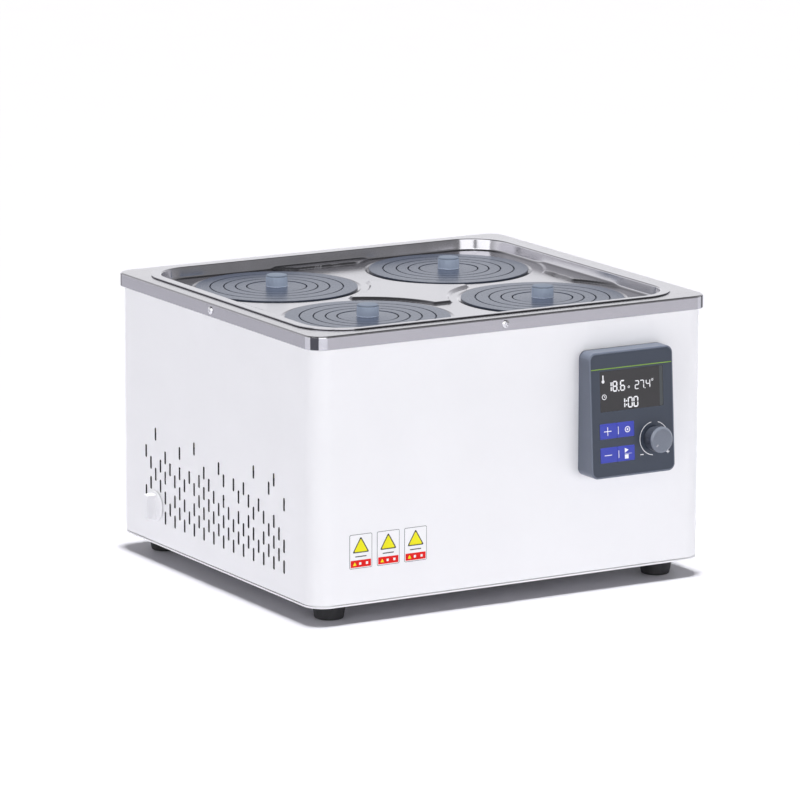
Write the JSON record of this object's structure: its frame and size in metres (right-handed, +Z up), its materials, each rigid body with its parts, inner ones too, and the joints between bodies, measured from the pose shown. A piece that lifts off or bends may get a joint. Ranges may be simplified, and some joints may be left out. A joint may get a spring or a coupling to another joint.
{
  "type": "water bath",
  "caption": "Bench-top rectangular water bath with a stainless drop-in cover, round holes closed by nested ring lids, vented painted casing and a sloping digital control box.",
  "frame": {"origin": "middle of the outer box, on the plane under the rubber feet", "axes": "+X to the right seen from the front, +Y to the back, +Z up"},
  "size_m": [0.3694, 0.3646, 0.2298],
  "materials": {
    "black_plastic": "moulded",
    "brass": "machined",
    "circuit_board": "solder mask",
    "dial_grey": "satin",
    "display_glass": "gloss",
    "fascia_film": "printed film",
    "heater_steel": "satin",
    "housing_plastic": "fine texture",
    "insulation": "mineral wool",
    "key_blue": "printed film",
    "motor_steel": "zinc plated",
    "painted_steel": "fine textured powder coat",
    "panel_paint": "powder coat",
    "plate_steel": "zinc plated",
    "polished_stainless": "polished",
    "ring_plastic": "satin",
    "rocker_red": "moulded",
    "rubber": "matt",
    "screw_steel": "polished",
    "silicone": "translucent",
    "stainless": "brushed",
    "tank_stainless": "satin",
    "white_plastic": "smooth"
  },
  "bodies": {
    "case": {"casing": "painted_steel", "rear_panel": "panel_paint", "base_pan": "painted_steel", "rubber_feet": "rubber", "top_frame": "stainless", "frame_screws": "screw_steel", "casing_screws": "screw_steel", "tank": "tank_stainless", "tank_insulation": "insulation", "heater": "heater_steel", "heater_nuts": "brass", "temperature_probe": "screw_steel", "drain_hose": "silicone", "drain_valve_body": "white_plastic", "control_housing": "housing_plastic", "control_fascia": "fascia_film", "display_window": "display_glass", "display_module": "circuit_board", "control_board": "circuit_board", "speed_encoder": "motor_steel", "power_board": "circuit_board", "power_inlet": "black_plastic", "switch_housing": "black_plastic", "motor_plate": "plate_steel", "stirrer_motors": "motor_steel"},
    "cover": {"cover_plate": "polished_stainless"},
    "ring_1_1": {"ring_1_1": "ring_plastic"},
    "ring_1_2": {"ring_1_2": "ring_plastic"},
    "ring_1_3": {"ring_1_3": "ring_plastic"},
    "ring_1_4": {"ring_1_4": "ring_plastic"},
    "centre_lid_1": {"centre_lid_1": "ring_plastic"},
    "ring_2_1": {"ring_2_1": "ring_plastic"},
    "ring_2_2": {"ring_2_2": "ring_plastic"},
    "ring_2_3": {"ring_2_3": "ring_plastic"},
    "ring_2_4": {"ring_2_4": "ring_plastic"},
    "centre_lid_2": {"centre_lid_2": "ring_plastic"},
    "ring_3_1": {"ring_3_1": "ring_plastic"},
    "ring_3_2": {"ring_3_2": "ring_plastic"},
    "ring_3_3": {"ring_3_3": "ring_plastic"},
    "ring_3_4": {"ring_3_4": "ring_plastic"},
    "centre_lid_3": {"centre_lid_3": "ring_plastic"},
    "ring_4_1": {"ring_4_1": "ring_plastic"},
    "ring_4_2": {"ring_4_2": "ring_plastic"},
    "ring_4_3": {"ring_4_3": "ring_plastic"},
    "ring_4_4": {"ring_4_4": "ring_plastic"},
    "centre_lid_4": {"centre_lid_4": "ring_plastic"},
    "rack": {"rack": "tank_stainless"},
    "drain_tap": {"drain_knob": "white_plastic", "drain_valve_ball": "screw_steel"},
    "speed_dial": {"speed_knob": "dial_grey"},
    "key_plus": {"key_plus": "key_blue"},
    "key_set": {"key_set": "key_blue"},
    "key_minus": {"key_minus": "key_blue"},
    "key_run": {"key_run": "key_blue"},
    "power_rocker": {"switch_rocker": "rocker_red"},
    "stirrer_rotor_1": {"stirrer_rotor_1": "plate_steel"},
    "stirrer_rotor_2": {"stirrer_rotor_2": "plate_steel"},
    "stirrer_rotor_3": {"stirrer_rotor_3": "plate_steel"},
    "stirrer_rotor_4": {"stirrer_rotor_4": "plate_steel"}
  },
  "joints": [
    {"name": "cover_lift", "type": "slide", "parent": "case", "child": "cover", "axis": [0, 0, 1], "range_m": [0, 0.1]},
    {"name": "ring_1_1_lift", "type": "slide", "parent": "cover", "child": "ring_1_1", "axis": [0, 0, 1], "range_m": [0, 0.035]},
    {"name": "ring_1_2_lift", "type": "slide", "parent": "ring_1_1", "child": "ring_1_2", "axis": [0, 0, 1], "range_m": [0, 0.035]},
    {"name": "ring_1_3_lift", "type": "slide", "parent": "ring_1_2", "child": "ring_1_3", "axis": [0, 0, 1], "range_m": [0, 0.035]},
    {"name": "ring_1_4_lift", "type": "slide", "parent": "ring_1_3", "child": "ring_1_4", "axis": [0, 0, 1], "range_m": [0, 0.035]},
    {"name": "centre_lid_1_lift", "type": "slide", "parent": "ring_1_4", "child": "centre_lid_1", "axis": [0, 0, 1], "range_m": [0, 0.035]},
    {"name": "ring_2_1_lift", "type": "slide", "parent": "cover", "child": "ring_2_1", "axis": [0, 0, 1], "range_m": [0, 0.035]},
    {"name": "ring_2_2_lift", "type": "slide", "parent": "ring_2_1", "child": "ring_2_2", "axis": [0, 0, 1], "range_m": [0, 0.035]},
    {"name": "ring_2_3_lift", "type": "slide", "parent": "ring_2_2", "child": "ring_2_3", "axis": [0, 0, 1], "range_m": [0, 0.035]},
    {"name": "ring_2_4_lift", "type": "slide", "parent": "ring_2_3", "child": "ring_2_4", "axis": [0, 0, 1], "range_m": [0, 0.035]},
    {"name": "centre_lid_2_lift", "type": "slide", "parent": "ring_2_4", "child": "centre_lid_2", "axis": [0, 0, 1], "range_m": [0, 0.035]},
    {"name": "ring_3_1_lift", "type": "slide", "parent": "cover", "child": "ring_3_1", "axis": [0, 0, 1], "range_m": [0, 0.035]},
    {"name": "ring_3_2_lift", "type": "slide", "parent": "ring_3_1", "child": "ring_3_2", "axis": [0, 0, 1], "range_m": [0, 0.035]},
    {"name": "ring_3_3_lift", "type": "slide", "parent": "ring_3_2", "child": "ring_3_3", "axis": [0, 0, 1], "range_m": [0, 0.035]},
    {"name": "ring_3_4_lift", "type": "slide", "parent": "ring_3_3", "child": "ring_3_4", "axis": [0, 0, 1], "range_m": [0, 0.035]},
    {"name": "centre_lid_3_lift", "type": "slide", "parent": "ring_3_4", "child": "centre_lid_3", "axis": [0, 0, 1], "range_m": [0, 0.035]},
    {"name": "ring_4_1_lift", "type": "slide", "parent": "cover", "child": "ring_4_1", "axis": [0, 0, 1], "range_m": [0, 0.035]},
    {"name": "ring_4_2_lift", "type": "slide", "parent": "ring_4_1", "child": "ring_4_2", "axis": [0, 0, 1], "range_m": [0, 0.035]},
    {"name": "ring_4_3_lift", "type": "slide", "parent": "ring_4_2", "child": "ring_4_3", "axis": [0, 0, 1], "range_m": [0, 0.035]},
    {"name": "ring_4_4_lift", "type": "slide", "parent": "ring_4_3", "child": "ring_4_4", "axis": [0, 0, 1], "range_m": [0, 0.035]},
    {"name": "centre_lid_4_lift", "type": "slide", "parent": "ring_4_4", "child": "centre_lid_4", "axis": [0, 0, 1], "range_m": [0, 0.035]},
    {"name": "rack_lift", "type": "slide", "parent": "case", "child": "rack", "axis": [0, 0, 1], "range_m": [0, 0.08]},
    {"name": "drain_turn", "type": "hinge", "parent": "case", "child": "drain_tap", "pos_m": [-0.17505, 0.10754, 0.046], "axis": [-1, 0, 0], "range_deg": [0, 90]},
    {"name": "speed_turn", "type": "hinge", "parent": "case", "child": "speed_dial", "pos_m": [0.12075, -0.17529, 0.12203], "axis": [0, 0.9979, -0.0642], "range_deg": [0, 280]},
    {"name": "key_plus_press", "type": "slide", "parent": "case", "child": "key_plus", "axis": [0, 0.9979, -0.0642], "range_m": [0, 0.0006], "stiffness_N_per_m": 800},
    {"name": "key_set_press", "type": "slide", "parent": "case", "child": "key_set", "axis": [0, 0.9979, -0.0642], "range_m": [0, 0.0006], "stiffness_N_per_m": 800},
    {"name": "key_minus_press", "type": "slide", "parent": "case", "child": "key_minus", "axis": [0, 0.9979, -0.0642], "range_m": [0, 0.0006], "stiffness_N_per_m": 800},
    {"name": "key_run_press", "type": "slide", "parent": "case", "child": "key_run", "axis": [0, 0.9979, -0.0642], "range_m": [0, 0.0006], "stiffness_N_per_m": 800},
    {"name": "power_rocker_tilt", "type": "hinge", "parent": "case", "child": "power_rocker", "pos_m": [0.06105, 0.16834, 0.045], "axis": [1, 0, 0], "range_deg": [0, 16]},
    {"name": "stirrer_1_spin", "type": "hinge", "parent": "case", "child": "stirrer_rotor_1", "pos_m": [-0.07715, 0.08334, 0.05], "axis": [0, 0, 1], "continuous": true},
    {"name": "stirrer_2_spin", "type": "hinge", "parent": "case", "child": "stirrer_rotor_2", "pos_m": [0.08325, 0.08334, 0.05], "axis": [0, 0, 1], "continuous": true},
    {"name": "stirrer_3_spin", "type": "hinge", "parent": "case", "child": "stirrer_rotor_3", "pos_m": [-0.07715, -0.06226, 0.05], "axis": [0, 0, 1], "continuous": true},
    {"name": "stirrer_4_spin", "type": "hinge", "parent": "case", "child": "stirrer_rotor_4", "pos_m": [0.08325, -0.06226, 0.05], "axis": [0, 0, 1], "continuous": true}
  ]
}
